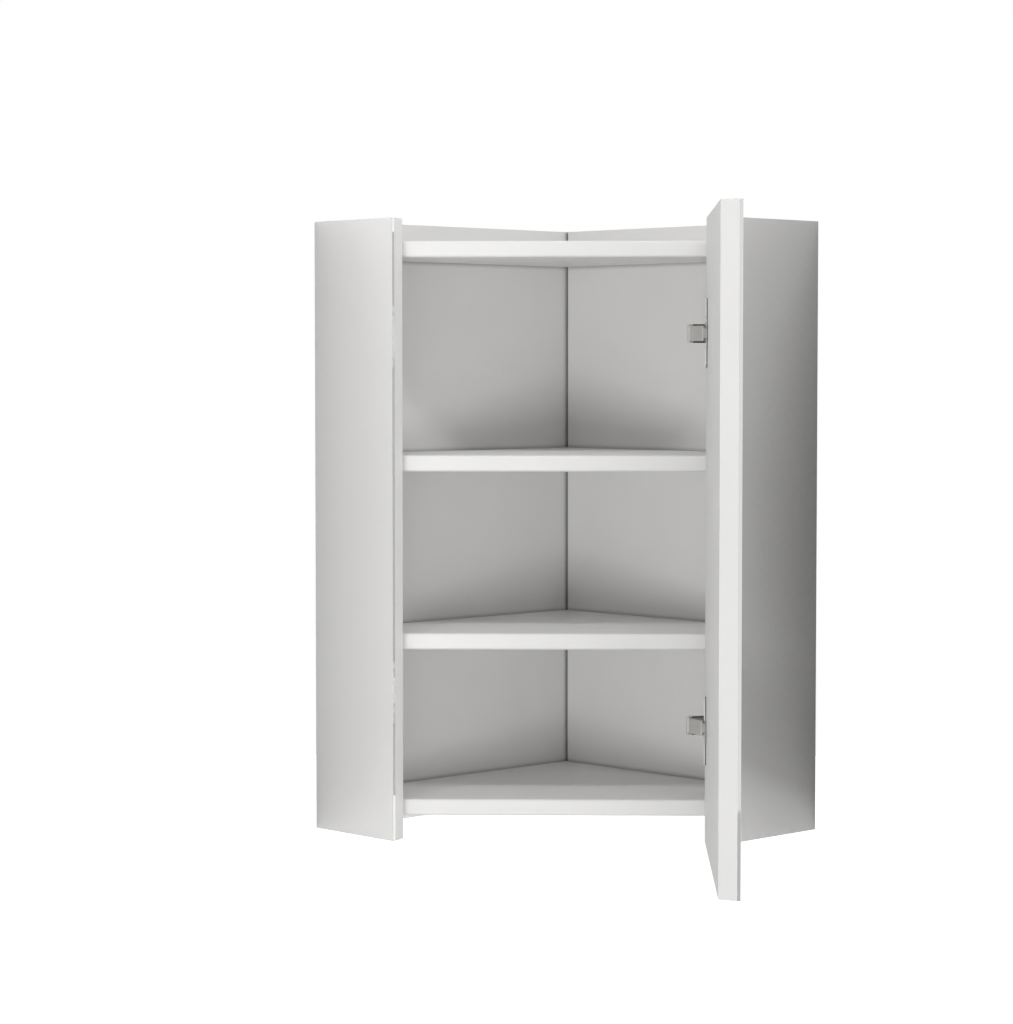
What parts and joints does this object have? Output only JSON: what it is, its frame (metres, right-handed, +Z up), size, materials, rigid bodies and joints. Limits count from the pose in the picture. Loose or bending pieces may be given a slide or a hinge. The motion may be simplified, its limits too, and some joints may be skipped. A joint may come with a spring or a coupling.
{
  "type": "corner mirror cabinet",
  "caption": "Wall cabinet for a room corner: white boards, mirrored side panels and a mirrored door across the corner on concealed hinges, shelves inside, door shown open.",
  "frame": {"origin": "on the room's corner line, where the two back panels' wall faces meet, at the lower edge of the panels", "axes": "+Z up the room's corner line, -Y out of the corner towards the user, +X to the user's right, so the walls run at 45 degrees to both"},
  "size_m": [0.4946, 0.6371, 0.6],
  "materials": {
    "white_board": "satin white lacquered board",
    "mirror_glass": "polished silvered glass",
    "nickel_steel": "nickel plated",
    "pin_steel": "plain",
    "zinc_steel": "zinc plated",
    "beech": "raw"
  },
  "bodies": {
    "cabinet": {"back_panel_left": "white_board", "back_panel_right": "white_board", "side_panel_left": "white_board", "side_panel_right": "white_board", "side_mirror_left": "mirror_glass", "side_mirror_right": "mirror_glass", "top_panel": "white_board", "upper_shelf": "white_board", "lower_shelf": "white_board", "bottom_panel": "white_board", "panel_screws": "zinc_steel", "panel_dowels": "beech", "wall_hanger_left": "zinc_steel", "wall_hanger_right": "zinc_steel", "wall_hanger_screws": "zinc_steel", "hinge_plate_upper": "nickel_steel", "hinge_plate_lower": "nickel_steel", "hinge_plate_screws": "nickel_steel", "hinge_arm_upper": "nickel_steel", "hinge_arm_lower": "nickel_steel", "hinge_adjusting_screws": "nickel_steel", "hinge_arm_pins": "pin_steel"},
    "door": {"door_panel": "white_board", "door_mirror": "mirror_glass", "hinge_cup_upper": "nickel_steel", "hinge_cup_lower": "nickel_steel", "hinge_cup_screws": "nickel_steel"},
    "hinge_links": {"hinge_link_upper": "nickel_steel", "hinge_link_lower": "nickel_steel", "hinge_link_pins": "pin_steel"}
  },
  "joints": [
    {"name": "door_swing", "type": "hinge", "parent": "cabinet", "child": "door", "pos_m": [0.15035, -0.3258, 0.3], "axis": [0, 0, 1], "range_deg": [-89.5, 5]},
    {"name": "link_turn", "type": "hinge", "parent": "cabinet", "child": "hinge_links", "pos_m": [0.11955, -0.3054, 0.3], "axis": [0, 0, 1], "range_deg": [-2.2, 36.2]}
  ],
  "couplings": [
    {"joint": "link_turn", "follows": "door_swing", "ratio": -0.39934}
  ]
}
